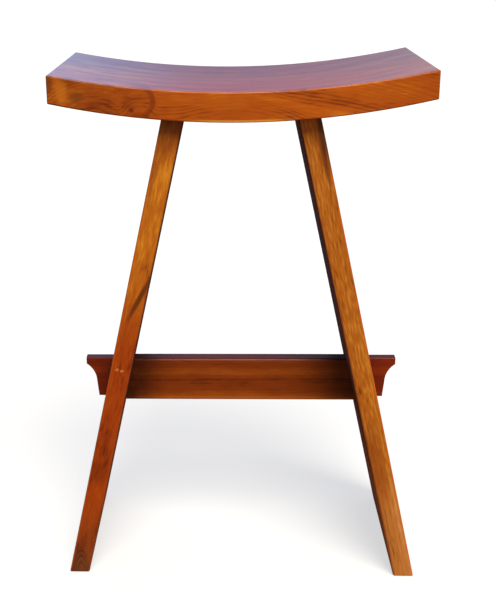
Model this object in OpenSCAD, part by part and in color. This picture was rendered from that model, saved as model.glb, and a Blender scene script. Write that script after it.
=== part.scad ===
// Bar stool in solid teak: a hollowed plank seat on two splayed plank legs,
// tied by one stretcher whose tenons pass through the legs and end as coved ears.
// X runs along the seat, Y from front to back, Z up. The origin is on the floor
// below the middle of the seat.

/* [Seat] */
// Length of the seat plank
seat_len = 500; // [440:5:580]
// Depth of the seat plank, front to back
seat_depth = 280; // [250:5:340]
// Height of the seat's two ends above the floor
seat_height = 750; // [640:10:800]
// Depth of the hollow in the middle of the top
seat_hollow = 25; // [12:1:34]
// Thickness in the middle of the seat
seat_mid_thick = 39; // [35:1:46]
// Thickness at the ends of the seat
seat_end_thick = 37; // [34:1:44]
// Radius of the seat's softened edges
seat_arris_r = 2; // [1:0.5:5]

/* [Legs] */
// Thickness of a leg plank
leg_thick = 29; // [24:1:34]
// Width of a leg plank, front to back
leg_width = 240; // [200:5:246]
// Distance between the middles of the two feet
foot_span = 488; // [440:4:540]
// Lean of each leg from upright, in degrees
leg_splay = 12.65; // [10:0.05:14]
// Radius of a leg's softened long edges
leg_arris_r = 3; // [1:0.5:5]
// Width of the small chamfer round the foot
foot_chamfer = 2; // [0.5:0.5:4]

/* [Leg to seat joint] */
// How far the leg's end is let into the seat
housing_depth = 9; // [5:1:12]
// Diameter of the dowels
dowel_dia = 10; // [8:1:12]
// Depth of the dowels in the seat
dowel_in_seat = 15; // [12:1:18]
// Depth of the dowels in the leg
dowel_in_leg = 30; // [20:1:40]
// Distance from the leg's edge to the first dowel
dowel_inset = 36; // [25:1:60]
// Width of the chamfer on a dowel's ends
dowel_chamfer = 1; // [0.5:0.25:2]

/* [Stretcher] */
// Height of the stretcher's top edge above the floor
stretcher_top = 307; // [240:1:380]
// Height of the stretcher board
stretcher_tall = 68; // [50:1:90]
// Thickness of the stretcher board
stretcher_thick = 24; // [20:1:30]
// Radius of the stretcher's softened long edges
stretcher_arris_r = 4; // [1:0.5:6]
// Thickness of the tenons and ears
tenon_thick = 15; // [10:1:18]
// Step under the board down to which the tenon doesn't reach
tenon_shoulder = 5; // [2:1:10]
// Radius of the tenons' softened long edges
tenon_arris_r = 1.5; // [0.5:0.5:3]

/* [Ears and pins] */
// How far an ear stands out from the leg, along its top edge
ear_reach = 44; // [36:1:60]
// Height of the straight face at an ear's tip
ear_nose = 10; // [5:1:14]
// How far the cove cuts back from the tip
ear_step = 15; // [8:1:18]
// Height of the cove
ear_cove_tall = 28; // [20:1:40]
// Slant of the straight face below the cove, in degrees from upright
ear_slant = 6; // [0:1:12]
// Diameter of the pin through each ear
pin_dia = 6; // [4:0.5:8]
// Depth of the pin's middle below the stretcher's top edge
pin_drop = 21; // [14:1:30]
// How far each end of a pin stands out of the ear
pin_proud = 0.6; // [0.2:0.2:3]

/* [Fits] */
// Clearance on each side between pieces that fit together
fit_gap = 0.1; // [0.05:0.05:0.3]

/* [Hidden] */
$fn = 96;

// How far every cutter runs past the face that it cuts
cut_over = 20;

// The seat's top and underside are arcs through its middle and its ends
seat_bow = seat_hollow + seat_mid_thick - seat_end_thick;
seat_top_r = (pow(seat_len / 2, 2) + pow(seat_hollow, 2)) / (2 * seat_hollow);
seat_under_r = (pow(seat_len / 2, 2) + pow(seat_bow, 2)) / (2 * seat_bow);
seat_top_centre = seat_height - seat_hollow + seat_top_r;
seat_under_centre = seat_height - seat_hollow - seat_mid_thick + seat_under_r;

// Length of a leg's middle line from the floor to the seat's underside
foot_x = foot_span / 2;
leg_line_b = foot_x * sin(leg_splay) + seat_under_centre * cos(leg_splay);
leg_line_c = pow(foot_x, 2) + pow(seat_under_centre, 2) - pow(seat_under_r, 2);
leg_clear_len = leg_line_b - sqrt(pow(leg_line_b, 2) - leg_line_c);
leg_len = leg_clear_len + housing_depth;

// Half the distance between the legs' outer faces at a height
leg_half_across = leg_thick / 2 / cos(leg_splay);
function leg_outer_x(z) = foot_x - z * tan(leg_splay) + leg_half_across;

tenon_tall = stretcher_tall - tenon_shoulder;
ear_tip_x = leg_outer_x(stretcher_top) + ear_reach;
ear_cove_r = (pow(ear_step, 2) + pow(ear_cove_tall, 2)) / (2 * ear_step);
pin_z = stretcher_top - pin_drop;
pin_x = leg_outer_x(pin_z) + (pin_dia / 2 + fit_gap) / cos(leg_splay);

teak = [0.72, 0.40, 0.14];
teak_seat = [0.76, 0.44, 0.18];
teak_dark = [0.48, 0.20, 0.08];
dowel_wood = [0.80, 0.66, 0.44];

// A rectangle with round corners, centred on the origin
module round_rect(w, h, r) {
    square([w - 2 * r, h], center = true);
    square([w, h - 2 * r], center = true);
    for (x = [-1, 1], y = [-1, 1])
        translate([x * (w / 2 - r), y * (h / 2 - r)]) circle(r = r);
}

// Turns a shape drawn in X and Z into one that runs along Y, centred
module along_y(len) {
    rotate([90, 0, 0]) linear_extrude(height = len, center = true) children();
}

// Turns a shape drawn in Y and Z into one that runs along X, centred
module along_x(len) {
    rotate([90, 0, 90]) linear_extrude(height = len, center = true) children();
}

// Places a shape on a leg: its Z is the leg's middle line, from the floor up
module on_leg(side) {
    mirror([side < 0 ? 1 : 0, 0, 0])
        translate([foot_x, 0, 0]) rotate([0, -leg_splay, 0]) children();
}

// The leg's cross section, enlarged by a gap on every side
module leg_section(gap) {
    round_rect(leg_thick + 2 * gap, leg_width + 2 * gap, leg_arris_r + gap);
}

// The places of the dowels across a leg, from front to back
function dowel_y(place) = place * (leg_width / 2 - dowel_inset);

// A hole for one dowel, on the leg's middle line
module dowel_hole(place) {
    translate([0, dowel_y(place), leg_len - dowel_in_leg - fit_gap])
        cylinder(d = dowel_dia + 2 * fit_gap,
                 h = dowel_in_leg + dowel_in_seat + 3 * fit_gap);
}

// The tenons' cross section in Y and Z, at its true height, enlarged by a gap
module tenon_section(gap) {
    translate([0, stretcher_top - tenon_tall / 2])
        round_rect(tenon_thick + 2 * gap, tenon_tall + 2 * gap, tenon_arris_r + gap);
}

// A ring about the seat's top arc: all that lies below the hollow, with
// softened front and back edges
module seat_top_form() {
    depth_in = 2 * seat_mid_thick + seat_bow;
    translate([0, 0, seat_top_centre]) rotate([90, 0, 0]) rotate_extrude($fn = 360)
        difference() {
            translate([seat_top_r, -seat_depth / 2]) square([depth_in, seat_depth]);
            for (side = [-1, 1])
                translate([seat_top_r, side * seat_depth / 2]) mirror([0, side > 0 ? 1 : 0])
                    arris_cutter(seat_arris_r);
        }
}

// A ring about the underside's arc: all that lies above the bow, softened too
module seat_under_form() {
    depth_in = 2 * seat_mid_thick + seat_bow;
    translate([0, 0, seat_under_centre]) rotate([90, 0, 0]) rotate_extrude($fn = 360)
        difference() {
            translate([seat_under_r - depth_in, -seat_depth / 2])
                square([depth_in, seat_depth]);
            for (side = [-1, 1])
                translate([seat_under_r, side * seat_depth / 2])
                    mirror([0, side > 0 ? 1 : 0]) mirror([1, 0]) arris_cutter(seat_arris_r);
        }
}

// Cuts a square corner at the origin, whose body lies in +X and +Y, to a radius
module arris_cutter(r) {
    difference() {
        translate([-r, -r]) square(2 * r);
        translate([r, r]) circle(r = r);
    }
}

// Softens the edge where the seat's end meets its top or its underside
module seat_end_cutter(arc_r, arc_centre, out) {
    mid_x = seat_len / 2 - seat_arris_r;
    mid_z = arc_centre - sqrt(pow(arc_r + out * seat_arris_r, 2) - pow(mid_x, 2));
    lean = asin(mid_x / (arc_r + out * seat_arris_r));
    reach = 2 * seat_arris_r;
    difference() {
        polygon([
            [mid_x, mid_z],
            [mid_x + reach, mid_z],
            [mid_x + reach, mid_z + out * reach],
            [mid_x - out * reach * sin(lean), mid_z + out * reach * cos(lean)]
        ]);
        translate([mid_x, mid_z]) circle(r = seat_arris_r);
    }
}

module seat() {
    color(teak_seat) difference() {
        intersection() {
            seat_top_form();
            seat_under_form();
            translate([0, 0, seat_height - seat_mid_thick - seat_hollow - cut_over])
                linear_extrude(height = seat_mid_thick + seat_hollow + 2 * cut_over)
                    round_rect(seat_len, seat_depth, seat_arris_r);
        }
        for (side = [0, 1]) mirror([side, 0, 0]) {
            along_y(seat_depth + 2 * cut_over) {
                seat_end_cutter(seat_top_r, seat_top_centre, 1);
                seat_end_cutter(seat_under_r, seat_under_centre, -1);
            }
        }
        for (side = [-1, 1]) on_leg(side) {
            translate([0, 0, leg_clear_len - cut_over])
                linear_extrude(height = cut_over + housing_depth + fit_gap)
                    leg_section(fit_gap);
            for (place = [-1, 0, 1]) dowel_hole(place);
        }
    }
}

// Cuts the foot flat on the floor, with a small chamfer round it
module foot_cutter(side) {
    foot_half = [leg_half_across, leg_width / 2];
    translate([side * foot_x, 0, 0]) {
        translate([-leg_width, -leg_width, -leg_width])
            cube([2 * leg_width, 2 * leg_width, leg_width]);
        for (end = [-1, 1]) {
            translate([end * foot_half.x, 0, 0]) rotate([0, 45, 0])
                cube([foot_chamfer * sqrt(2), leg_width + cut_over,
                      foot_chamfer * sqrt(2)], center = true);
            translate([0, end * foot_half.y, 0]) rotate([45, 0, 0])
                cube([leg_width, foot_chamfer * sqrt(2), foot_chamfer * sqrt(2)],
                     center = true);
        }
    }
}

module leg(side) {
    color(teak) difference() {
        on_leg(side) difference() {
            translate([0, 0, -cut_over]) linear_extrude(height = leg_len + cut_over)
                leg_section(0);
            for (place = [-1, 0, 1]) dowel_hole(place);
        }
        foot_cutter(side);
        translate([side * leg_outer_x(stretcher_top), 0, 0])
            along_x(leg_width) tenon_section(fit_gap);
    }
}

// Cuts an ear's end: a straight nose on top, a cove, and a lower face that slants in
module ear_cutter() {
    cove_low = stretcher_top - ear_nose - ear_cove_tall;
    cut_low = stretcher_top - stretcher_tall - cut_over;
    cove_x = ear_tip_x - ear_step;
    clear_x = ear_tip_x + cut_over;
    along_y(tenon_thick + 2 * cut_over) {
        polygon([
            [cove_x, cove_low],
            [clear_x, cove_low],
            [clear_x, cut_low],
            [cove_x - (cove_low - cut_low) * tan(ear_slant), cut_low]
        ]);
        translate([cove_x + ear_cove_r, cove_low]) circle(r = ear_cove_r);
    }
}

module pin_hole(side, gap) {
    translate([side * pin_x, 0, pin_z]) rotate([90, 0, 0])
        cylinder(d = pin_dia + 2 * gap, h = tenon_thick + 2 * pin_proud + 2 * gap,
                 center = true);
}

module stretcher() {
    color(teak_dark) {
        difference() {
            union() {
                difference() {
                    translate([0, 0, stretcher_top - stretcher_tall / 2])
                        along_x(2 * ear_tip_x)
                            round_rect(stretcher_thick, stretcher_tall, stretcher_arris_r);
                    for (side = [-1, 1]) on_leg(side)
                        translate([-leg_thick / 2 - fit_gap, -leg_width / 2, 0])
                            cube([2 * ear_tip_x, leg_width, leg_len]);
                }
                along_x(2 * ear_tip_x) tenon_section(0);
            }
            for (side = [0, 1]) mirror([side, 0, 0]) ear_cutter();
            for (side = [-1, 1]) pin_hole(side, fit_gap);
        }
    }
}

module pin(side) {
    color(teak_dark) pin_hole(side, 0);
}

module dowel(side, place) {
    straight = dowel_in_leg + dowel_in_seat - 2 * dowel_chamfer;
    color(dowel_wood) on_leg(side)
        translate([0, dowel_y(place), leg_len - dowel_in_leg]) {
            cylinder(d1 = dowel_dia - 2 * dowel_chamfer, d2 = dowel_dia, h = dowel_chamfer);
            translate([0, 0, dowel_chamfer]) cylinder(d = dowel_dia, h = straight);
            translate([0, 0, dowel_chamfer + straight])
                cylinder(d1 = dowel_dia, d2 = dowel_dia - 2 * dowel_chamfer,
                         h = dowel_chamfer);
        }
}

seat();
leg(-1);  // left_leg
leg(1);  // right_leg
stretcher();
pin(-1);  // left_pin
pin(1);  // right_pin
dowel(-1, -1);  // left_dowel_front
dowel(-1, 0);  // left_dowel_middle
dowel(-1, 1);  // left_dowel_back
dowel(1, -1);  // right_dowel_front
dowel(1, 0);  // right_dowel_middle
dowel(1, 1);  // right_dowel_back
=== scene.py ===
# %% [markdown]
# # A bar stool in lacquered teak
# This lesson dresses a wooden bar stool: a thick plank seat with a hollow for the
# sitter, two leaning plank legs, and a stretcher whose ends come out through the legs
# as small shaped ears. The joinery is already modelled as exact solids. What is left
# for Blender is everything that the eye reads as wood: how the growth rings run
# through each plank, where a branch once grew, how the lacquer shines, and how
# hands and feet have rubbed the edges.

# %% [markdown]
# ## The stool itself
# The real stool is twelve pieces of wood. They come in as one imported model, with each
# piece already in its place, so nothing here moves or reshapes them. Their box is
# kept, because the finished stool has to stay inside it.

# %% Load the stool
import math

import bpy
from mathutils import Matrix, Vector


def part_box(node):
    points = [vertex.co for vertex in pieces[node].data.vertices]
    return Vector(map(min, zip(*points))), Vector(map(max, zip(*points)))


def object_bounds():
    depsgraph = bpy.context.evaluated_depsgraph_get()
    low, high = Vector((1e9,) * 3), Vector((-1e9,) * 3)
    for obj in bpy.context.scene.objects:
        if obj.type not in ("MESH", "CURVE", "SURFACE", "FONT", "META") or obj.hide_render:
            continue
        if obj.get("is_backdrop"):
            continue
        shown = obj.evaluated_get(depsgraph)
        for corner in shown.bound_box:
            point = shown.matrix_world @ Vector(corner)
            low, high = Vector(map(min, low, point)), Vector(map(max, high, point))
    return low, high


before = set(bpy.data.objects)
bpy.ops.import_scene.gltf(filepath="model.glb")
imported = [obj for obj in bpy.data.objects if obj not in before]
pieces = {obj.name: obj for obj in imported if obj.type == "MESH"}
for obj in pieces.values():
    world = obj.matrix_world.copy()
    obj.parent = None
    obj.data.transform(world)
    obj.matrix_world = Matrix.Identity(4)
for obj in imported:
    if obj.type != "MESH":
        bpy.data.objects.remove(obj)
cad_low, cad_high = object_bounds()
print("pieces:", ", ".join(sorted(pieces)))
print("size in mm:", [round(1000 * side) for side in cad_high - cad_low])

# %% [markdown]
# ## Sizes to work from
# A pattern that follows a plank needs to know where that plank is. Reading the boxes
# of the pieces keeps the finish tied to the model: a longer seat would still have its
# rings along its length. Two things can't be read from a box: the thickness of the
# leaning planks, which is written down, and their lean, which is worked out from where
# a leg's foot and its top are.

# %% Named sizes
LEG_THICKNESS = 0.029
seat_low, seat_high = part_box("seat")
leg_low, leg_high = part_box("right_leg")
bar_low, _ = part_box("stretcher")

foot_x = leg_high.x - LEG_THICKNESS / 2
top_x = leg_low.x + LEG_THICKNESS / 2
lean = math.atan((foot_x - top_x) / leg_high.z)
print("lean of the legs in degrees:", round(math.degrees(lean), 1))

# %% [markdown]
# ## Camera
# The photograph was taken by someone standing a step and a half away, with the camera
# a little above the seat and tipped down. A camera can be placed by eye, but then no
# edge quite lands where the photograph has it. Here the values come from the stool
# itself: its corners and edges fit only one place. The picture was cropped to one side
# afterwards, and a small lens shift stands for that crop.

# %% Camera
PICTURE = (496, 600)
FOCAL_PX = 1067.8
CROP_PX = -80
SENSOR_MM = 36
EYE = Vector((-0.014, -1.5139, 0.9196))
YAW, PITCH, ROLL = -0.0617, 0.3316, -0.0216

flat_ahead = Vector((math.sin(YAW), math.cos(YAW), 0))
ahead = math.cos(PITCH) * flat_ahead - math.sin(PITCH) * Vector((0, 0, 1))
level = Vector((math.cos(YAW), -math.sin(YAW), 0))
above = level.cross(ahead)
right = math.cos(ROLL) * level + math.sin(ROLL) * above
top = math.cos(ROLL) * above - math.sin(ROLL) * level
look = Matrix((right, top, -ahead)).transposed().to_4x4()

camera_data = bpy.data.cameras.new("camera")
camera_data.sensor_width = SENSOR_MM
camera_data.lens = FOCAL_PX * SENSOR_MM / max(PICTURE)
camera_data.shift_x = -CROP_PX / max(PICTURE)
camera = bpy.data.objects.new("camera", camera_data)
camera.matrix_world = Matrix.Translation(EYE) @ look
bpy.context.scene.collection.objects.link(camera)
bpy.context.scene.camera = camera
print("lens in mm:", round(camera_data.lens, 1))

# %% [markdown]
# ## Small helpers for nodes
# Every finish below is a net of shader nodes. Written out one call at a time such a
# net is hard to read, so these helpers make a node, fill its sockets and hand back
# what it puts out. A value that is a socket gets linked; any other value is typed in.

# %% Node helpers
def feed(tree, socket, value):
    """Links value to the socket if it comes from another node, and types it in if not."""
    if isinstance(value, bpy.types.NodeSocket):
        tree.links.new(value, socket)
    else:
        socket.default_value = value


def put(tree, kind, inputs=None, **settings):
    """Adds a shader node with its settings and inputs."""
    made = tree.nodes.new("ShaderNode" + kind)
    for name, value in settings.items():
        setattr(made, name, value)
    for name, value in (inputs or {}).items():
        feed(tree, made.inputs[name], value)
    return made


def maths(tree, operation, *values):
    """One sum on numbers."""
    made = put(tree, "Math", operation=operation)
    for socket, value in zip(made.inputs, values):
        feed(tree, socket, value)
    return made.outputs[0]


def times(tree, first, *others):
    """The product of two or more numbers."""
    for other in others:
        first = maths(tree, "MULTIPLY", first, other)
    return first


def vectors(tree, operation, *values):
    """One sum on vectors."""
    made = put(tree, "VectorMath", operation=operation)
    for socket, value in zip(made.inputs, values):
        feed(tree, socket, value)
    return made.outputs["Value" if operation in ("LENGTH", "DOT_PRODUCT") else "Vector"]


def split(tree, vector):
    """The X, Y and Z of a vector."""
    return put(tree, "SeparateXYZ", {"Vector": vector}).outputs


print("node helpers ready")

# %% [markdown]
# ## Steps, noise and groups
# Nearly every mask on the stool is a smooth step: nothing before one value, everything
# after another, and a soft change between. Where the value is a place on the stool, it
# is in metres. Nearly every irregularity is noise, which has to be long along the grain
# and short across it, so it gets its own scale on each axis. An effect that several
# planks share is made once, as a node group.

# %% Pattern helpers
def ease(tree, value, start, end, low=0.0, high=1.0):
    """A smooth step: low before start, high after end."""
    span = {"Value": value, "From Min": start, "From Max": end, "To Min": low, "To Max": high}
    return put(tree, "MapRange", span, interpolation_type="SMOOTHSTEP").outputs["Result"]


def cloud(tree, vector, stretch, detail=2.0):
    """Noise with its own scale along each axis, in cells a metre."""
    spread = vectors(tree, "MULTIPLY", vector, stretch)
    return put(tree, "TexNoise", {"Vector": spread, "Scale": 1.0, "Detail": detail}).outputs


def new_group(name, inputs, outputs):
    """Starts a node group and returns its tree, what it is given and what it puts out."""
    tree = bpy.data.node_groups.new(name, "ShaderNodeTree")
    for title, kind, value in inputs:
        socket = tree.interface.new_socket(
            title, in_out="INPUT", socket_type="NodeSocket" + kind)
        if value is not None:
            socket.default_value = value
    for title, kind in outputs:
        tree.interface.new_socket(title, in_out="OUTPUT", socket_type="NodeSocket" + kind)
    given = tree.nodes.new("NodeGroupInput").outputs
    return tree, given, tree.nodes.new("NodeGroupOutput").inputs


print("pattern helpers ready")

# %% [markdown]
# ## Growth rings
# A tree grows a new ring each year round its heart, so inside a plank every point has
# one telling number: how far it is from the heart of the tree. A flat image of grain
# can't wrap round an edge, but this distance can: the same number draws long stripes
# on a face, arches where the heart comes near, and arcs on the end. Trees aren't
# turned on a lathe, so slow noise pushes the rings about. Along the grain, which is
# the vector's Z, the noise changes slowly.

# %% Growth rings group
SLOW = (5.0, 5.0, 1.3)
QUICK = (30.0, 30.0, 5.0)
RIPPLE_SHARE = 0.16
NOISE_MEAN = 0.5
NOISE_MEANS = (NOISE_MEAN, NOISE_MEAN, NOISE_MEAN)
ACROSS = (1.0, 1.0, 0.0)

rings, given, out = new_group(
    "Growth rings",
    [("Vector", "Vector", None), ("Wander", "Float", 0.01), ("Seed", "Float", 0.0)],
    [("Radius", "Float")],
)
started = vectors(rings, "ADD", given["Vector"], given["Seed"])
drift = vectors(rings, "SUBTRACT", cloud(rings, started, SLOW)["Color"], NOISE_MEANS)
ripple = vectors(rings, "SUBTRACT", cloud(rings, started, QUICK)["Color"], NOISE_MEANS)
drift = vectors(rings, "MULTIPLY", drift, given["Wander"])
ripple = vectors(rings, "MULTIPLY", ripple, times(rings, given["Wander"], RIPPLE_SHARE))
pushed = vectors(rings, "ADD", vectors(rings, "ADD", given["Vector"], drift), ripple)
from_heart = vectors(rings, "MULTIPLY", pushed, ACROSS)
feed(rings, out["Radius"], vectors(rings, "LENGTH", from_heart))
print("group:", rings.name)

# %% [markdown]
# ## Knots
# Where a branch grew, the rings bend round it. A dark spot laid on the wood would leave
# them straight. Taking a smooth dome away from the distance to the heart bends them:
# far away nothing changes, nearer the rings bulge, and over a steep dome they close
# into eyes. The same group serves for a real knot, spread wide for the arched figure
# over a swelling in the trunk, and, long and tilted, for a flame or a dark streak. It
# also tells how deep inside a point lies. The dome falls off with the square of the
# distance, so its middle stays calm and the rings crowd at its rim, as they do in wood.

# %% Knot group
RIM_SOFTNESS = 0.35

knot, given, out = new_group(
    "Knot",
    [("Vector", "Vector", None), ("Centre", "Vector", None), ("Spread", "Vector", None),
     ("Tilt", "Float", 0.0), ("Lift", "Float", 0.03), ("Radius", "Float", 0.0)],
    [("Radius", "Float"), ("Body", "Float")],
)
apart = vectors(knot, "SUBTRACT", given["Vector"], given["Centre"])
inputs = {"Vector": apart, "Angle": given["Tilt"]}
turned = put(knot, "VectorRotate", inputs, rotation_type="Y_AXIS").outputs["Vector"]
shares = vectors(knot, "DIVIDE", turned, given["Spread"])
far = vectors(knot, "DOT_PRODUCT", shares, shares)
dome = maths(knot, "SMOOTH_MAX", maths(knot, "SUBTRACT", 1.0, far), 0.0, RIM_SOFTNESS)
lifted = times(knot, dome, given["Lift"])
feed(knot, out["Radius"], maths(knot, "SUBTRACT", given["Radius"], lifted))
feed(knot, out["Body"], ease(knot, far, 0.0, 1.0, 1.0, 0.0))
print("group:", knot.name)

# %% [markdown]
# ## Teak figure: the lines
# Teak has a dark line where each year's growth starts. It fades into the new ring, and
# the last wood of the old ring is already a little darker. A Wave texture could draw
# such lines, but all alike, as if printed. Dividing the distance to the heart by the
# width of a ring counts the years instead, and the fraction that is left over tells the
# season. Good and bad years came in turn, so noise makes the rings uneven, and each
# ring draws its own strength from its number.

# %% Teak figure lines
UNEVEN_SCALE = 36.0
UNEVEN_YEARS = 2.6
WEAKEST_LINE = 0.25
NEW_RING = (0.0, 0.42, 1.0, 0.0)
OLD_RING = (0.6, 1.0, 0.0, 0.55)

teak, given, out = new_group(
    "Teak figure",
    [("Vector", "Vector", None), ("Radius", "Float", 0.0), ("Ring Width", "Float", 0.005),
     ("Line Depth", "Float", 0.3), ("Band Depth", "Float", 0.3), ("Mottle", "Float", 0.5),
     ("Flecks", "Float", 0.4), ("Seed", "Float", 0.0),
     ("Light", "Color", None), ("Middle", "Color", None), ("Dark", "Color", None)],
    [("Color", "Color"), ("Fibre", "Float"), ("Pores", "Float")],
)
inputs = {"W": given["Radius"], "Scale": UNEVEN_SCALE, "Detail": 1.0}
sway = put(teak, "TexNoise", inputs, noise_dimensions="1D").outputs["Fac"]
year = maths(teak, "DIVIDE", given["Radius"], given["Ring Width"])
year = maths(teak, "ADD", year, times(teak, sway, UNEVEN_YEARS))
season = maths(teak, "FRACT", year)
number = maths(teak, "ADD", maths(teak, "FLOOR", year), given["Seed"])
own = put(teak, "TexWhiteNoise", {"W": number}, noise_dimensions="1D").outputs["Value"]
own = maths(teak, "MULTIPLY_ADD", own, 1.0 - WEAKEST_LINE, WEAKEST_LINE)
line = maths(teak, "MAXIMUM", ease(teak, season, *NEW_RING), ease(teak, season, *OLD_RING))
line = times(teak, line, own, given["Line Depth"])
print("started group:", teak.name)

# %% [markdown]
# ## Teak figure: clouds, fibres and pores
# Besides the lines there are wide bands of honey and brown, broad clouds, the mottle
# of curled grain, and oily flecks. Closer up there are fine fibres, and open pores
# that look like short dark scratches. All of these are noise, each at its own size and
# each stretched along the grain. The bands follow the rings, so their noise reads the
# distance to the heart in place of the point. A photograph of teak would hold all this
# ready made, but only for a flat side, and with its own light in it.

# %% Teak figure noise
BANDS = (42.0, 0.9, 1.0)
BROAD = (7.0, 7.0, 1.5)
MOTTLE = (60.0, 60.0, 20.0)
FLECKS = (420.0, 420.0, 60.0)
FIBRES = (620.0, 620.0, 8.0)
PORES = (1100.0, 1100.0, 45.0)
PORE_EDGE = (0.6, 0.74)


def swing(tree, vector, stretch, detail=2.0):
    """Noise that goes as far below nought as above it."""
    return maths(tree, "SUBTRACT", cloud(tree, vector, stretch, detail)["Fac"], NOISE_MEAN)


along = split(teak, given["Vector"])["Z"]
inputs = {"X": given["Radius"], "Y": along, "Z": given["Seed"]}
ring_place = put(teak, "CombineXYZ", inputs).outputs["Vector"]
band = times(teak, swing(teak, ring_place, BANDS, 1.5), given["Band Depth"])
shifted = vectors(teak, "ADD", given["Vector"], given["Seed"])
broad = swing(teak, shifted, BROAD)
mottle = swing(teak, shifted, MOTTLE, 3.0)
fleck = swing(teak, shifted, FLECKS, 1.0)
fibre = cloud(teak, given["Vector"], FIBRES, 3.0)["Fac"]
pores = ease(teak, cloud(teak, given["Vector"], PORES, 1.0)["Fac"], *PORE_EDGE)
print("nodes in the teak figure so far:", len(teak.nodes))

# %% [markdown]
# ## Teak figure: the colour
# Everything above is added up to one number, the tone, and the tone picks a colour
# between dark, middle and light. With three colours, and not two, the shadows of the
# figure can be red while its lights are golden, which is what makes teak glow. A Color
# Ramp node could hold the three colours, but they couldn't be inputs of the group, and
# each plank has its own.

# %% Teak figure colour
PLAIN_TONE = 0.62
BAND_GAIN = 2.4
BROAD_GAIN = 0.8
FIBRE_GAIN = 0.35
PORE_DARKNESS = 0.22


def mix(tree, amount, first, second, mode="MIX"):
    """Mixes two colours. They are inputs 6 and 7 of a Mix node, and its output 2."""
    made = put(tree, "Mix", data_type="RGBA", blend_type=mode)
    for number, value in ((0, amount), (6, first), (7, second)):
        feed(tree, made.inputs[number], value)
    return made.outputs[2]


tone = maths(teak, "MULTIPLY_ADD", band, BAND_GAIN, PLAIN_TONE)
tone = maths(teak, "MULTIPLY_ADD", broad, BROAD_GAIN, tone)
tone = maths(teak, "SUBTRACT", tone, line)
tone = maths(teak, "MULTIPLY_ADD", mottle, given["Mottle"], tone)
tone = maths(teak, "MULTIPLY_ADD", fleck, given["Flecks"], tone)
tone = maths(teak, "MULTIPLY_ADD", maths(teak, "SUBTRACT", fibre, NOISE_MEAN), FIBRE_GAIN, tone)
tone = maths(teak, "SUBTRACT", tone, times(teak, pores, PORE_DARKNESS))
darker = mix(teak, ease(teak, tone, 0.0, 0.5), given["Dark"], given["Middle"])
feed(teak, out["Color"], mix(teak, ease(teak, tone, 0.5, 1.0), darker, given["Light"]))
feed(teak, out["Fibre"], fibre)
feed(teak, out["Pores"], pores)
print("finished group:", teak.name)

# %% [markdown]
# ## Rubbed edges
# The long edges are rounded, and hands wear the stain there to a brighter orange. The
# same mask also places painted highlights: the bright lower edges of the seat and the
# stretcher are painted highlight, and the orange of the seat's other edges and of the
# right leg's outer edge is partly one. On every piece of this stool a rounded long edge
# is the only place whose surface faces neither straight to the front or back nor
# straight across, so the surface's own direction finds it. The Geometry node's
# Pointiness finds edges too, but it needs a dense mesh. A little noise breaks the line
# up, as wear does.

# %% Rubbed edge group
PATCHES = (60.0, 60.0, 60.0)
LEAVES_SIDE = (0.1, 0.45)
REACHES_FRONT = (0.86, 0.99, 1.0, 0.0)
RUBBED_PATCH = (0.3, 0.62, 0.45, 1.0)

edge_group, given, out = new_group(
    "Rubbed edge and painted highlight",
    [("Normal", "Vector", None), ("Vector", "Vector", None)],
    [("Mask", "Float")],
)
forward = maths(edge_group, "ABSOLUTE", split(edge_group, given["Normal"])["Y"])
edge = times(edge_group, ease(edge_group, forward, *LEAVES_SIDE), ease(edge_group, forward, *REACHES_FRONT))
patch = ease(edge_group, cloud(edge_group, given["Vector"], PATCHES)["Fac"], *RUBBED_PATCH)
feed(edge_group, out["Mask"], times(edge_group, edge, patch))


def edge_mask(tree, place):
    """Where the rounded edges are, for wear and for painted highlights."""
    inputs = {"Normal": place["Normal"], "Vector": place["Object"]}
    return put(tree, "Group", inputs, node_tree=edge_group).outputs["Mask"]


print("group:", edge_group.name)

# %% [markdown]
# ## Painted shade in the corners
# Where two boards meet, and under the seat, less light gets in, so that shade is painted
# into the colour. An Ambient Occlusion node would find every corner by itself, also where
# no shade is wanted. This group is told the distance to a corner and how far the painted
# shade reaches, and fades it out unevenly.

# %% Painted shade group
SHADE_PATCH = (0.3, 0.65, 0.75, 1.0)

shade_group, given, out = new_group(
    "Painted shade",
    [("Vector", "Vector", None), ("Distance", "Float", 0.0), ("Reach", "Float", 0.05)],
    [("Mask", "Float")],
)
# The mask of painted shade: full at the corner, fading out with distance.
share = maths(shade_group, "DIVIDE", given["Distance"], given["Reach"])
smear = ease(shade_group, cloud(shade_group, given["Vector"], PATCHES)["Fac"], *SHADE_PATCH)
feed(shade_group, out["Mask"], times(shade_group, ease(shade_group, share, 0.0, 1.0, 1.0, 0.0), smear))


def painted_shade_mask(tree, place, distance, reach):
    """Where painted shade sits near a corner."""
    inputs = {"Vector": place["Object"], "Distance": distance, "Reach": reach}
    return put(tree, "Group", inputs, node_tree=shade_group).outputs["Mask"]


print("group:", shade_group.name)

# %% [markdown]
# ## A plank's wood, step by step
# Each plank was cut from its own place in a log, so each gets its own material: with
# one for all, the legs would be twins. These helpers hold what they share. start_plank
# turns the plank so that its grain lies along Z, and moves it so that its rings are
# centred on a heart line. grow bends the rings round the knots, each given by its
# centre, spread, tilt and lift. figure draws the wood from them.

# %% Plank helpers
def start_plank(name, turn, heart):
    """Starts a material; turn brings the grain to Z, and heart the tree's heart to nought."""
    material = bpy.data.materials.new(name)
    material.use_nodes = True
    tree = material.node_tree
    tree.nodes.clear()
    place = put(tree, "TexCoord").outputs
    plank = {"Vector": place["Object"], "Rotation": turn, "Location": heart}
    return material, tree, place, put(tree, "Mapping", plank).outputs["Vector"]


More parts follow.
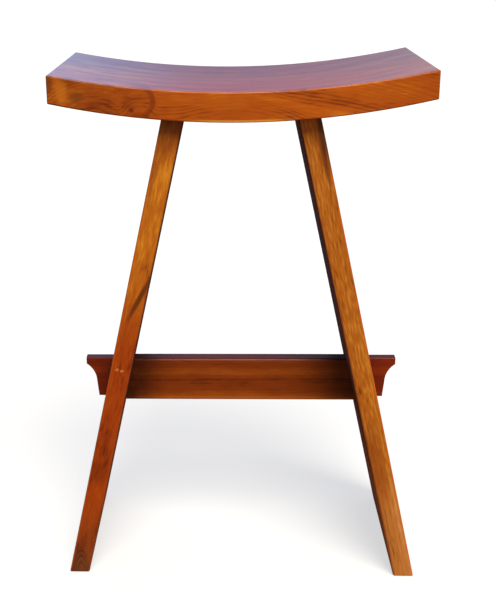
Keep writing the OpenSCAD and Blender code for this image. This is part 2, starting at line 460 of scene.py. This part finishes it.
def grow(tree, place, plank, seed, wander, knots=()):
    """The distance to the heart, bent round each knot, and how deep a point is in each."""
    inputs = {"Vector": plank, "Wander": wander, "Seed": seed}
    radius, bodies = put(tree, "Group", inputs, node_tree=rings).outputs["Radius"], []
    for centre, spread, tilt, lift in knots:
        inputs = {"Vector": place["Object"], "Centre": centre, "Spread": spread}
        inputs.update({"Tilt": tilt, "Lift": lift, "Radius": radius})
        bent = put(tree, "Group", inputs, node_tree=knot).outputs
        radius = bent["Radius"]
        bodies.append(bent["Body"])
    return radius, bodies


def figure(tree, plank, radius, **values):
    """The teak figure group, with its other inputs by name."""
    inputs = {name.replace("_", " ").title(): value for name, value in values.items()}
    inputs.update({"Vector": plank, "Radius": radius})
    return put(tree, "Group", inputs, node_tree=teak).outputs


print("plank helpers ready")

# %% [markdown]
# ## Lacquer
# The stool is coated with a clear lacquer. Smoother wood would shine too, but in one
# layer: the coat of the Principled shader puts a clear, glossy surface over a duller
# one, as lacquer does. The hand-planed face swells a little, which breaks up the shine
# of both, and the pores dent the wood slightly. Where no polish gets, it is rougher.

# %% Lacquer helpers
SWELLS = (9.0, 26.0, 26.0)
FIBRE_ROUGHNESS = 0.12
DULL_ROUGHNESS = 0.45
FIBRE_RELIEF = 0.4
RELIEF = 0.0002
RELIEF_STRENGTH = 0.3
WOOD_SHINE = 0.2


def lacquer(tree, place, colour, marks, roughness, coat, coat_roughness, swell=0.0004, dull=0.0):
    """Wood under lacquer. marks are the figure's outputs, and dull is where it is matt."""
    low = roughness - FIBRE_ROUGHNESS / 2
    rough = maths(tree, "MULTIPLY_ADD", marks["Fibre"], FIBRE_ROUGHNESS, low)
    rough = maths(tree, "MULTIPLY_ADD", dull, DULL_ROUGHNESS, rough)
    waves = cloud(tree, place["Object"], SWELLS)["Fac"]
    swollen = put(tree, "Bump", {"Distance": swell, "Height": waves}).outputs["Normal"]
    height = maths(tree, "SUBTRACT", times(tree, marks["Fibre"], FIBRE_RELIEF), marks["Pores"])
    inputs = {"Strength": RELIEF_STRENGTH, "Distance": RELIEF, "Height": height}
    inputs["Normal"] = swollen
    dented = put(tree, "Bump", inputs).outputs["Normal"]
    skin = put(tree, "BsdfPrincipled", {
        "Base Color": colour, "Roughness": rough, "Normal": dented,
        "Specular IOR Level": WOOD_SHINE, "Coat Weight": coat,
        "Coat Roughness": coat_roughness, "Coat Normal": swollen,
    })
    put(tree, "OutputMaterial", {"Surface": skin.outputs["BSDF"]})


def wear_it(material, *names):
    """Gives the finish to pieces of the stool."""
    for name in names:
        mesh = pieces[name].data
        mesh.materials.clear()
        mesh.materials.append(material)
    print(material.name, "on", ", ".join(names))


print("lacquer helpers ready")

# %% [markdown]
# ## The seat's figure
# The seat is one thick board, sawn to a curve. Its grain stays level while the surfaces
# rise to the two ends, so the lines run out through the top; if they followed the
# curve, the board would look bent. On the front edge they crown over the middle and
# fall towards both ends, and faint arches stand in the middle, where the saw just
# touched a swelling. At the left two branches grew close together. The rings swell
# round each, and are faint inside the smaller swelling, and the wood there is curly. On
# the end of the board the grain is cut across, so it is hardly mottled.

# %% Seat figure
QUARTER = math.pi / 2
SEAT_HEART = (-0.362, -0.30, 0.0)
SEAT_WOOD = {
    "light": (0.65, 0.185, 0.007, 1),
    "middle": (0.46, 0.086, 0.003, 1),
    "dark": (0.20, 0.027, 0.001, 1),
}
front_y = seat_low.y
crown = ((-0.10, 0.0, 0.7), (0.45, 3.0, 3.0), 0.0, 0.062)
big_swell = ((-0.200, front_y, 0.727), (0.050, 0.05, 0.034), 0.0, 0.010)
small_swell = ((-0.131, front_y, 0.715), (0.026, 0.05, 0.027), 0.0, 0.008)
arch = ((0.0, front_y, 0.690), (0.080, 0.05, 0.046), 0.0, 0.009)
bends = (crown, big_swell, small_swell, arch)

seat_teak, tree, place, plank = start_plank("seat_teak", (0.0, QUARTER, 0.0), SEAT_HEART)
radius, bodies = grow(tree, place, plank, seed=3.1, wander=0.02, knots=bends)
in_swell = bodies[bends.index(small_swell)]
spot = split(tree, place["Object"])
facing = split(tree, place["Normal"])
off_middle = maths(tree, "ABSOLUTE", spot["X"])
off_end = ease(tree, maths(tree, "ABSOLUTE", facing["X"]), 0.5, 0.9, 1.0, 0.3)
curl = times(tree, ease(tree, spot["X"], -0.19, -0.06, 1.7, 0.6), off_end)
lines = ease(tree, off_middle, 0.02, 0.09, 0.19, 0.30)
lines = times(tree, lines, ease(tree, in_swell, 0.2, 0.7, 1.0, 0.45))
marks = figure(
    tree, plank, radius, seed=5.0, ring_width=0.0034, line_depth=lines, band_depth=0.42,
    mottle=curl, **SEAT_WOOD,
)
print("bends in the seat's rings:", len(bodies))

# %% [markdown]
# ## The seat's colour
# Two helpers lay colour over colour. stain paints a new one on, as a brush does, and
# tint multiplies, as a thin glaze does, so the figure shows through. The top is tinted
# browner and bluer than the front edge, more so towards the back: partly a darker wood,
# partly a painted reflection of the sky. The left end is darker, and the wood right of
# the middle a little lighter. Two materials, one for the top and one for the edges,
# would meet in a hard line; masks change softly.

# %% Seat colour
FRONT_BROWN_AND_SHEEN = (0.76, 0.88, 1.1, 1)
BACK_BROWN_AND_SHEEN = (0.42, 0.62, 2.2, 1)
LEFT_SHADE = (0.77, 0.75, 0.8, 1)
RIGHT_GLOW = (1.10, 1.17, 1.2, 1)


def stain(tree, amount, strength, colour, new):
    """Lays a new colour over a colour where the mask is, at a strength from 0 to 1."""
    return mix(tree, times(tree, amount, strength), colour, new)


def tint(tree, amount, colour, by):
    """Multiplies a colour where the mask is."""
    return mix(tree, amount, colour, mix(tree, 1.0, colour, by, "MULTIPLY"))


upward = ease(tree, facing["Z"], 0.55, 0.9)
depth_in = ease(tree, spot["Y"], front_y, 0.6 * seat_high.y)
left_end = ease(tree, spot["X"], -0.08, -0.19)
left_side = times(tree, left_end, maths(tree, "SUBTRACT", 1.0, upward))
right_part = ease(tree, spot["X"], 0.0, 0.08)
right_part = times(tree, right_part, ease(tree, spot["X"], 0.13, 0.22, 1.0, 0.0))
# The top's tint is partly a darker wood and partly a painted reflection of the sky.
colour = tint(tree, upward, marks["Color"], mix(tree, depth_in, FRONT_BROWN_AND_SHEEN, BACK_BROWN_AND_SHEEN))
colour = tint(tree, left_side, colour, LEFT_SHADE)
colour = tint(tree, right_part, colour, RIGHT_GLOW)
print("nodes in the seat's material so far:", len(tree.nodes))

# %% [markdown]
# ## Spots on the seat
# The smaller swelling has a dark rim, strongest on its right. Four small dark spots lie
# round the branches, a pale streak near the left end, and a paler patch in the middle.
# They could be painted on an image, but a place and a size on the front edge, a
# strength and a colour say as much. The knot group gives their masks, and bends no ring
# here, because only its second output is used.

# %% Seat spots
RIM_BROWN = (0.16, 0.018, 0.001, 1)
SPOT_DEPTH = 0.02
SPOTS = (
    ((-0.231, 0.733), (0.010, 0.028), 0.35, (0.74, 0.23, 0.012, 1)),
    ((-0.211, 0.721), (0.013, 0.010), 0.6, (0.15, 0.042, 0.004, 1)),
    ((-0.141, 0.704), (0.0045, 0.004), 0.75, (0.12, 0.012, 0.001, 1)),
    ((-0.218, 0.746), (0.022, 0.009), 0.6, (0.14, 0.030, 0.002, 1)),
    ((-0.247, 0.740), (0.007, 0.020), 0.7, (0.15, 0.028, 0.002, 1)),
    ((-0.020, 0.711), (0.042, 0.011), 0.25, (0.62, 0.16, 0.005, 1)),
)
halfway_in = times(tree, in_swell, maths(tree, "SUBTRACT", 1.0, in_swell))
rim = ease(tree, halfway_in, 0.12, 0.25)
rim = times(tree, rim, ease(tree, spot["X"], -0.145, -0.118, 0.3, 1.0))
colour = stain(tree, rim, 0.55, colour, RIM_BROWN)
for (x, z), (wide, tall), strength, paint in SPOTS:
    inputs = {"Vector": place["Object"], "Centre": (x, front_y, z)}
    inputs["Spread"] = (wide, SPOT_DEPTH, tall)
    body = put(tree, "Group", inputs, node_tree=knot).outputs["Body"]
    colour = stain(tree, body, strength, colour, paint)
print("spots on the seat:", len(SPOTS))

# %% [markdown]
# ## Wear and gloss on the seat
# The edges are worn to orange, partly real wear and partly a painted highlight, and
# darker at the left. In the middle the lower edge and a thin strip just above it get a
# bright orange, which is a painted highlight. A mask by height alone would leave the
# curved edge, so the strip follows the arc of the underside, whose height above its
# lowest line grows with the square of X. The top's lacquer is the glossiest on the stool.

# %% Seat wear and lacquer
UNDER_RISE = 0.43
WORN_ORANGE_AND_HIGHLIGHT = (0.46, 0.14, 0.015, 1)
WORN_BROWN = (0.15, 0.040, 0.005, 1)
SEAT_LOW_HIGHLIGHT = (0.92, 0.36, 0.04, 1)
SIDE_GLOSS, TOP_GLOSS = 0.12, 0.66

worn = edge_mask(tree, place)
# The orange of the edges is partly wear and partly a painted highlight.
colour = stain(tree, worn, 0.4, colour, WORN_ORANGE_AND_HIGHLIGHT)
colour = stain(tree, times(tree, worn, left_end), 0.9, colour, WORN_BROWN)
# Painted highlight: a bright strip along the middle of the lower edge.
rise = maths(tree, "MULTIPLY_ADD", times(tree, spot["X"], spot["X"]), UNDER_RISE, seat_low.z)
rise = maths(tree, "SUBTRACT", spot["Z"], rise)
on_sides = ease(tree, maths(tree, "ABSOLUTE", facing["Y"]), 0.3, 0.6)
low_rim = times(tree, ease(tree, rise, 0.002, 0.0045, 1.0, 0.0), on_sides)
low_edge = times(tree, worn, ease(tree, facing["Z"], -0.15, -0.4))
lit_low_edge = maths(tree, "MAXIMUM", low_rim, low_edge)
lit_low_edge = times(tree, ease(tree, off_middle, 0.03, 0.08, 1.0, 0.0), lit_low_edge)
colour = stain(tree, lit_low_edge, 0.8, colour, SEAT_LOW_HIGHLIGHT)
gloss = ease(tree, facing["Z"], 0.3, 0.8, SIDE_GLOSS, TOP_GLOSS)
gloss = times(tree, gloss, ease(tree, worn, 0.0, 1.0, 1.0, 0.1))
lacquer(
    tree, place, colour, marks, roughness=0.42, coat=gloss, coat_roughness=0.12, swell=0.0009)
wear_it(seat_teak, "seat")

# %% [markdown]
# ## What both legs share
# Right under the seat the legs get painted shade, for the seat's shadow. Their inner
# faces get painted shade too, darkest above the stretcher and fading little by little
# below it, and they are duller than the rest, because the polishing cloth seldom gets
# there. One helper finishes both legs, so that they stay a pair, and side tells it which
# way is inwards.

# %% Leg helper
# Painted shade: the seat's shadow on the tops of the legs, and shade on their inner faces.
SEAT_SHADE_BROWN = (0.040, 0.006, 0.001, 1)
SEAT_SHADE_REACH = 0.045
INNER_SHADE_DARK = (0.034, 0.006, 0.022, 1)
INNER_SHADE = (0.7, 0.6, 0.7, 1)
CLEARS_FROM, CLEARS_TO = bar_low.z + 0.06, bar_low.z - 0.16
LEG_GLOSS = 0.25
leg_front = leg_low.y
leg_foot = foot_x * math.cos(lean)


def finish_leg(tree, place, colour, marks, side, top_shade, inner_shade_strength):
    """Painted shade under the seat and on the inner face, a duller inner face and lacquer. side
    is 1 for the right leg, -1 for the left.
    """
    height = split(tree, place["Object"])["Z"]
    below_seat = maths(tree, "SUBTRACT", leg_high.z, height)
    inner = times(tree, split(tree, place["Normal"])["X"], -side)
    inner = ease(tree, inner, 0.4, 0.9)
    above_bar = ease(tree, height, CLEARS_TO, CLEARS_FROM)
    under_seat = painted_shade_mask(tree, place, below_seat, SEAT_SHADE_REACH)
    # Painted shadow of the seat on the top of the leg.
    colour = stain(tree, under_seat, top_shade, colour, SEAT_SHADE_BROWN)
    # Painted shade on the inner face, darkest above the stretcher.
    colour = tint(tree, inner, colour, INNER_SHADE)
    colour = stain(tree, times(tree, inner, above_bar), inner_shade_strength, colour, INNER_SHADE_DARK)
    coat = ease(tree, inner, 0.0, 1.0, LEG_GLOSS, 0.0)
    lacquer(tree, place, colour, marks, roughness=0.5, coat=coat, coat_roughness=0.2, dull=inner)


print("leg helper ready")

# %% [markdown]
# ## The right leg's figure
# We see the legs edge-on. The right one was cut so that its rings cross the edge:
# straight, fine lines run from floor to seat, and oily flecks break them, more so
# higher up. A narrow wedge near the outer edge at the top and a brown patch below the
# stretcher are only masks here: their lift is nought, so they bend no ring.

# %% Right leg figure
RIGHT_HEART = (0.09 - leg_foot, 0.03, 0.0)
RIGHT_WOOD = {
    "light": (0.63, 0.225, 0.022, 1),
    "middle": (0.46, 0.122, 0.006, 1),
    "dark": (0.19, 0.038, 0.002, 1),
}
wedge = ((0.110, leg_front, 0.632), (0.0045, 0.03, 0.050), 1.15 * lean, 0.0)
brown_patch = ((0.197, leg_front, 0.195), (0.013, 0.03, 0.085), lean, 0.0)

right_teak, tree, place, plank = start_plank("right_leg_teak", (0.0, lean, 0.0), RIGHT_HEART)
radius, bodies = grow(tree, place, plank, seed=1.7, wander=0.012, knots=(wedge, brown_patch))
in_wedge, in_patch = bodies
spot = split(tree, place["Object"])
height = spot["Z"]
marks = figure(
    tree, plank, radius, seed=2.0, ring_width=0.0042, line_depth=0.34, band_depth=0.5,
    mottle=0.5, flecks=ease(tree, height, 0.10, 0.30, 0.5, 1.4), **RIGHT_WOOD,
)
print("brown marks on the right leg:", len(bodies))

# %% [markdown]
# ## The right leg's colour
# The wood is paler near the floor. Along the inner corner it is darker and redder, which
# is painted shade. The outer edge is red, partly rubbed and partly a painted highlight,
# but under the seat the outer corner is nearly black. A mask by X alone would cut across
# a leg that leans, so the masks of the corners read how far a point is from the leg's
# middle line at its own height.

# %% Right leg colour
PALER = (1.22, 1.55, 5.2, 1)
INNER_RED_SHADE = (0.30, 0.050, 0.006, 1)
WEDGE_BROWN = (0.15, 0.025, 0.003, 1)
PATCH_BROWN = (0.24, 0.038, 0.003, 1)
EDGE_RED_AND_HIGHLIGHT = (0.64, 0.10, 0.003, 1)
CORNER_BLACK = (0.05, 0.007, 0.001, 1)


def near_the_front(tree, spot):
    """1 at a leg's front edge, and little further in."""
    return ease(tree, spot["Y"], leg_front + 0.005, leg_front + 0.07, 1.0, 0.2)


middle_x = maths(tree, "MULTIPLY_ADD", height, -math.tan(lean), foot_x)
from_middle = maths(tree, "SUBTRACT", spot["X"], middle_x)
outward = ease(tree, split(tree, place["Normal"])["X"], 0.15, 0.5)
red_edge = times(tree, outward, edge_mask(tree, place), ease(tree, height, 0.60, 0.66, 1.0, 0.0))
low = times(tree, ease(tree, height, 0.07, 0.20, 1.0, 0.0), near_the_front(tree, spot))
top_corner = ease(tree, from_middle, 0.003, 0.010)
top_corner = times(tree, top_corner, ease(tree, height, 0.60, 0.655))
colour = tint(tree, low, marks["Color"], PALER)
# Painted shade along the inner corner.
colour = stain(tree, ease(tree, from_middle, -0.006, -0.014), 0.35, colour, INNER_RED_SHADE)
colour = stain(tree, in_wedge, 0.7, colour, WEDGE_BROWN)
colour = stain(tree, in_patch, 0.45, colour, PATCH_BROWN)
# The red outer edge: partly wear, partly a painted highlight.
colour = stain(tree, red_edge, 0.75, colour, EDGE_RED_AND_HIGHLIGHT)
colour = stain(tree, top_corner, 0.75, colour, CORNER_BLACK)
finish_leg(tree, place, colour, marks, side=1, top_shade=0.05, inner_shade_strength=0.7)
wear_it(right_teak, "right_leg")

# %% [markdown]
# ## The left leg's figure
# The left leg was cut nearer the heart. Its front edge shows a flame that points up, a
# dark slanting streak halfway, two pale flecks just above the stretcher, a smudge below
# it, and smoky arches at the foot. The knot group makes them all: the flame is a tall,
# thin knot along the leg, the arches are the upper half of a knot on the floor line,
# and the rest have no lift and serve as masks. The wood is curly at both ends, most of
# all near that edge, and plainer in between.

# %% Left leg figure
LEFT_HEART = (leg_foot + 0.004, 0.085, 0.0)
LEFT_WOOD = {
    "light": (0.65, 0.21, 0.010, 1),
    "middle": (0.45, 0.10, 0.004, 1),
    "dark": (0.19, 0.032, 0.001, 1),
}
PLAIN_HEIGHT = 0.45
PLAIN_MOTTLE = 0.45
flame = ((-0.126, leg_front, 0.47), (0.029, 0.03, 0.210), -lean, 0.010)
foot_arch = ((-0.240, leg_front, 0.0), (0.015, 0.02, 0.048), 0.0, 0.022)
streak = ((-0.139, leg_front, 0.442), (0.005, 0.03, 0.052), -0.50, 0.0)
smudge = ((-0.212, leg_front, 0.172), (0.022, 0.03, 0.024), 0.5, 0.0)
left_fleck = ((-0.175, leg_front, 0.334), (0.004, 0.01, 0.0025), 0.3, 0.0)
right_fleck = ((-0.168, leg_front, 0.332), (0.004, 0.01, 0.0025), 0.3, 0.0)
left_marks = (flame, foot_arch, streak, smudge, left_fleck, right_fleck)

left_teak, tree, place, plank = start_plank("left_leg_teak", (0.03, -lean, 0.0), LEFT_HEART)
radius, bodies = grow(tree, place, plank, seed=8.4, wander=0.012, knots=left_marks)
in_flame, in_arch, in_streak, in_smudge, *in_flecks = bodies
spot = split(tree, place["Object"])
height = spot["Z"]
from_plain = maths(tree, "ABSOLUTE", maths(tree, "SUBTRACT", height, PLAIN_HEIGHT))
curl = ease(tree, from_plain, 0.13, 0.21, 0.0, 0.75)
curl = maths(tree, "MULTIPLY_ADD", curl, near_the_front(tree, spot), PLAIN_MOTTLE)
marks = figure(
    tree, plank, radius, seed=9.0, ring_width=0.005, band_depth=0.15, mottle=curl,
    line_depth=ease(tree, in_arch, 0.0, 0.5, 0.20, 0.9),
    flecks=ease(tree, height, 0.22, 0.34, 0.45, 0.8), **LEFT_WOOD,
)
print("marks on the left leg:", len(left_marks))

# %% [markdown]
# ## The left leg's colour
# Inside the flame the wood is lighter, above it browner, and below the streak redder.
# The foot has lost its red, and its arches are smoky. The rubbed edges are orange. The
# flame's and the arches' masks come from the knots that bend the rings, so lines and
# colours change together.

# %% Left leg colour
REDDER = (0.84, 0.49, 0.2, 1)
FLAME_GLOW = (1.14, 1.32, 1.3, 1)
FADED = (0.66, 0.90, 7.0, 1)
OVER_FLAME_BROWN = (0.17, 0.042, 0.002, 1)
SMOKE = (0.11, 0.045, 0.018, 1)
STREAK_BROWN = (0.11, 0.022, 0.001, 1)
SMUDGE_BROWN = (0.13, 0.014, 0.001, 1)
FLECK_PALE = (0.72, 0.24, 0.05, 1)
EDGE_ORANGE = (0.58, 0.12, 0.006, 1)

glow = times(tree, ease(tree, in_flame, 0.0, 0.3), ease(tree, height, 0.36, 0.45))
over_flame = ease(tree, in_flame, 0.0, 0.2, 1.0, 0.0)
over_flame = times(tree, over_flame, ease(tree, height, 0.54, 0.60))
colour = tint(tree, ease(tree, height, 0.34, 0.5, 1.0, 0.0), marks["Color"], REDDER)
colour = tint(tree, glow, colour, FLAME_GLOW)
colour = tint(tree, ease(tree, height, 0.02, 0.14, 1.0, 0.0), colour, FADED)
colour = stain(tree, over_flame, 0.25, colour, OVER_FLAME_BROWN)
colour = stain(tree, in_arch, 0.5, colour, SMOKE)
colour = stain(tree, in_streak, 0.9, colour, STREAK_BROWN)
colour = stain(tree, in_smudge, 0.4, colour, SMUDGE_BROWN)
for in_fleck in in_flecks:
    colour = stain(tree, in_fleck, 0.7, colour, FLECK_PALE)
colour = stain(tree, edge_mask(tree, place), 0.4, colour, EDGE_ORANGE)
finish_leg(tree, place, colour, marks, side=-1, top_shade=0.8, inner_shade_strength=0.5)
wear_it(left_teak, "left_leg")

# %% [markdown]
# ## The stretcher's figure
# The stretcher is a darker, redder board with straight grain, and it has no knot. To
# know how far a point is from the legs, the X of a leg's inner face at the point's
# height is worked out first. In the leg and beyond it, on the ears, the gap is below
# nought.

# %% Stretcher figure
BAR_HEART = (-0.19, -0.02, 0.0)
BAR_WOOD = {
    "light": (0.34, 0.066, 0.003, 1),
    "middle": (0.235, 0.036, 0.001, 1),
    "dark": (0.085, 0.009, 0.0005, 1),
}
inner_face_x = foot_x - LEG_THICKNESS / 2 / math.cos(lean)

bar_teak, tree, place, plank = start_plank("stretcher_teak", (0.0, QUARTER, 0.0), BAR_HEART)
radius, _ = grow(tree, place, plank, seed=4.6, wander=0.01)
marks = figure(
    tree, plank, radius, seed=6.0, ring_width=0.005, line_depth=0.24, band_depth=0.75,
    **BAR_WOOD,
)
spot = split(tree, place["Object"])
facing = split(tree, place["Normal"])["Z"]
leg_face = maths(tree, "MULTIPLY_ADD", spot["Z"], -math.tan(lean), inner_face_x)
gap = maths(tree, "SUBTRACT", leg_face, maths(tree, "ABSOLUTE", spot["X"]))
print("X of a leg's inner face at the floor in mm:", round(1000 * inner_face_x))

# %% [markdown]
# ## The stretcher's colour
# Painted shade darkens the board where it runs into the legs, a little more at the
# left. The ears are redder and darker: partly a redder wood, partly painted shade from
# the legs. The top gets painted shade from the seat, and its edges are browned. The
# lower edge and a strip above it get a brighter orange, which is a painted highlight.
# The painted shade in the corners is laid on last, over everything else.

# %% Stretcher colour
# Painted highlights on the lower edge and on the strip just above it.
BAR_STRIP_HIGHLIGHT = (0.55, 0.13, 0.012, 1)
BAR_LOW_EDGE_HIGHLIGHT = (0.80, 0.22, 0.015, 1)
TOP_EDGE_BROWN = (0.11, 0.012, 0.002, 1)
# The ears: partly a redder wood, partly painted shade from the legs.
EAR_RED_AND_SHADE = (0.80, 0.45, 1.0, 1)
# Painted shade on the top of the stretcher, under the seat.
TOP_SHADE_TINT = (0.36, 0.28, 0.4, 1)
# Painted shade where the board meets the legs.
CORNER_SHADE = (0.02, 0.002, 0.0005, 1)
CORNER_REACH = 0.07

corner = painted_shade_mask(tree, place, maths(tree, "ABSOLUTE", gap), CORNER_REACH)
corner = times(tree, corner, ease(tree, spot["X"], -0.05, 0.05, 0.8, 0.6))
upward = ease(tree, facing, 0.6, 0.95)
low_strip = ease(tree, spot["Z"], bar_low.z + 0.004, bar_low.z + 0.009, 1.0, 0.0)
low_strip = times(tree, low_strip, ease(tree, gap, 0.0, 0.004))
worn = edge_mask(tree, place)
low_edge = times(tree, ease(tree, facing, -0.1, -0.35), worn)
top_edge = times(tree, ease(tree, facing, 0.1, 0.35), worn)
# Painted highlight along the bottom of the front face and the lower edge.
colour = stain(tree, low_strip, 0.7, marks["Color"], BAR_STRIP_HIGHLIGHT)
colour = stain(tree, low_edge, 0.9, colour, BAR_LOW_EDGE_HIGHLIGHT)
colour = stain(tree, top_edge, 0.7, colour, TOP_EDGE_BROWN)
# Ears tinted redder and darker: wood colour plus painted shade.
colour = tint(tree, ease(tree, gap, 0.0, -0.02), colour, EAR_RED_AND_SHADE)
# Painted shade on the upward face.
colour = tint(tree, upward, colour, TOP_SHADE_TINT)
# Painted shade in the corners at the legs.
colour = stain(tree, corner, 1.0, colour, CORNER_SHADE)
coat = ease(tree, upward, 0.0, 1.0, 0.15, 0.03)
lacquer(tree, place, colour, marks, roughness=0.5, coat=coat, coat_roughness=0.2)
wear_it(bar_teak, "stretcher")

# %% [markdown]
# ## Pins
# The two pins that lock the ears lie from front to back and show only their ends. End
# grain drinks stain and turns nearly black, so this is teak in three very dark colours,
# turned to have its grain along the pin.

# %% Pin finish
PIN_WOOD = {
    "light": (0.10, 0.025, 0.006, 1),
    "middle": (0.06, 0.012, 0.003, 1),
    "dark": (0.02, 0.004, 0.001, 1),
}

pin_wood, tree, place, plank = start_plank("pin_wood", (QUARTER, 0.0, 0.0), (0.0, 0.0, 0.0))
radius, _ = grow(tree, place, plank, seed=2.2, wander=0.002)
marks = figure(
    tree, plank, radius, seed=1.0, ring_width=0.0015, line_depth=0.5, band_depth=0.5,
    **PIN_WOOD,
)
lacquer(tree, place, marks["Color"], marks, roughness=0.5, coat=0.2, coat_roughness=0.3)
wear_it(pin_wood, "left_pin", "right_pin")

# %% [markdown]
# ## Dowels
# The six dowels between the legs and the seat are hidden in the finished stool. They
# are turned from a paler wood and never see lacquer, so their coat is nought. Their
# names in the model all hold the word dowel, which is how they are found.

# %% Dowel finish
DOWEL_WOOD = {
    "light": (0.66, 0.45, 0.24, 1),
    "middle": (0.54, 0.34, 0.16, 1),
    "dark": (0.34, 0.19, 0.08, 1),
}
dowels = [name for name in sorted(pieces) if "dowel" in name]

dowel_wood, tree, place, plank = start_plank("dowel_wood", (0.0, 0.0, 0.0), (0.05, 0.0, 0.0))
radius, _ = grow(tree, place, plank, seed=7.7, wander=0.004)
marks = figure(
    tree, plank, radius, seed=4.0, ring_width=0.0022, line_depth=0.25, band_depth=0.4,
    **DOWEL_WOOD,
)
lacquer(tree, place, marks["Color"], marks, roughness=0.6, coat=0.0, coat_roughness=0.3)
wear_it(dowel_wood, *dowels)

# %% [markdown]
# ## Floor
# The stool was cut out onto plain white, so to the camera the floor is white and
# partly glows itself, which leaves only a pale shadow. To the light it is a dark, warm
# ground, as earth or a wooden deck would be: a white floor would fill every shadow
# under the seat. Light Path tells the two apart.

# %% Floor
FLOOR_SIDE = 60.0
GROUND = (0.20, 0.13, 0.05, 1)
PALE = (0.92, 0.90, 0.80, 1)
WHITE = (1, 1, 1, 1)
OWN_GLOW = 0.6

floor_paint = bpy.data.materials.new("floor_paint")
floor_paint.use_nodes = True
tree = floor_paint.node_tree
tree.nodes.clear()
seen = put(tree, "LightPath").outputs["Is Camera Ray"]
matt = put(tree, "BsdfDiffuse", {"Color": mix(tree, seen, GROUND, PALE)})
paper = put(tree, "Emission", {"Color": WHITE, "Strength": 1.0})
both = put(tree, "MixShader", {"Fac": times(tree, seen, OWN_GLOW)})
tree.links.new(matt.outputs["BSDF"], both.inputs[1])
tree.links.new(paper.outputs["Emission"], both.inputs[2])
put(tree, "OutputMaterial", {"Surface": both.outputs["Shader"]})

bpy.ops.mesh.primitive_plane_add(size=FLOOR_SIDE)
floor = bpy.context.object
floor.name = "floor"
floor.data.materials.append(floor_paint)
floor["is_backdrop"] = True
print("floor side in metres:", FLOOR_SIDE)

# %% [markdown]
# ## Lamp
# The photograph was taken outdoors, under a high and slightly warm light from the
# front right. It throws the seat's shadow on the tops of the legs. An area lamp would
# fade across the floor. One of the sun kind is even everywhere, and its angle makes the
# edges of its shadow soft.

# %% Lamp
def lamp(name, azimuth, elevation, level, colour, softness):
    """An even lamp; azimuth 0 is in front of the stool, 90 at its right."""
    data = bpy.data.lights.new(name, "SUN")
    data.energy = level * math.pi
    data.color = colour
    data.angle = math.radians(softness)
    made = bpy.data.objects.new(name, data)
    turn, rise = math.radians(azimuth), math.radians(elevation)
    away = Vector((-math.sin(turn), math.cos(turn), 0.0))
    towards = math.cos(rise) * away - math.sin(rise) * Vector((0, 0, 1))
    made.rotation_euler = towards.to_track_quat("-Z", "Y").to_euler()
    bpy.context.scene.collection.objects.link(made)
    print(name, "from azimuth", azimuth, "elevation", elevation)


lamp("key", azimuth=16, elevation=58, level=1.15, colour=(1.0, 0.97, 0.92), softness=32)

# %% [markdown]
# ## Sky
# A cool sky lies all round. Its low part behind the stool shows in the lacquer of the
# seat, because we look at it almost along the surface, and turns the brown into mauve:
# bluer at the left, dimmer in the middle, pinker at the right. A photographed sky could
# stand here too, but nothing on the stool is glossy enough to show one. The camera
# itself sees plain white there.

# %% Sky
SKY = (0.36, 0.36, 0.46, 1)
BEHIND = (0.28, 0.27, 0.54, 1)
BEHIND_LEFT = (0.50, 0.88, 1.50, 1)
BEHIND_RIGHT = (0.58, 0.66, 0.86, 1)

world = bpy.data.worlds.new("sky")
world.use_nodes = True
bpy.context.scene.world = world
tree = world.node_tree
tree.nodes.clear()
way = split(tree, put(tree, "TexCoord").outputs["Generated"])
back = mix(tree, ease(tree, way["X"], 0.04, 0.18), BEHIND, BEHIND_RIGHT)
back = mix(tree, ease(tree, way["X"], 0.0, -0.15), back, BEHIND_LEFT)
sky = mix(tree, ease(tree, way["Y"], 0.3, 0.85), SKY, back)
seen = put(tree, "LightPath").outputs["Is Camera Ray"]
glow = put(tree, "Background", {"Color": mix(tree, seen, sky, WHITE)})
put(tree, "OutputWorld", {"Surface": glow.outputs["Background"]})
bpy.context.scene.view_settings.view_transform = "Standard"
print("world:", world.name)

# %% [markdown]
# ## Last sizes
# The finished stool must still fill the box of its solids, so the growth of its box over
# theirs is printed.

# %% Sizes and finish
seen_low, seen_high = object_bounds()
growth = (seen_high - seen_low) - (cad_high - cad_low)
print("grew by mm:", [round(1000 * side, 2) for side in growth])
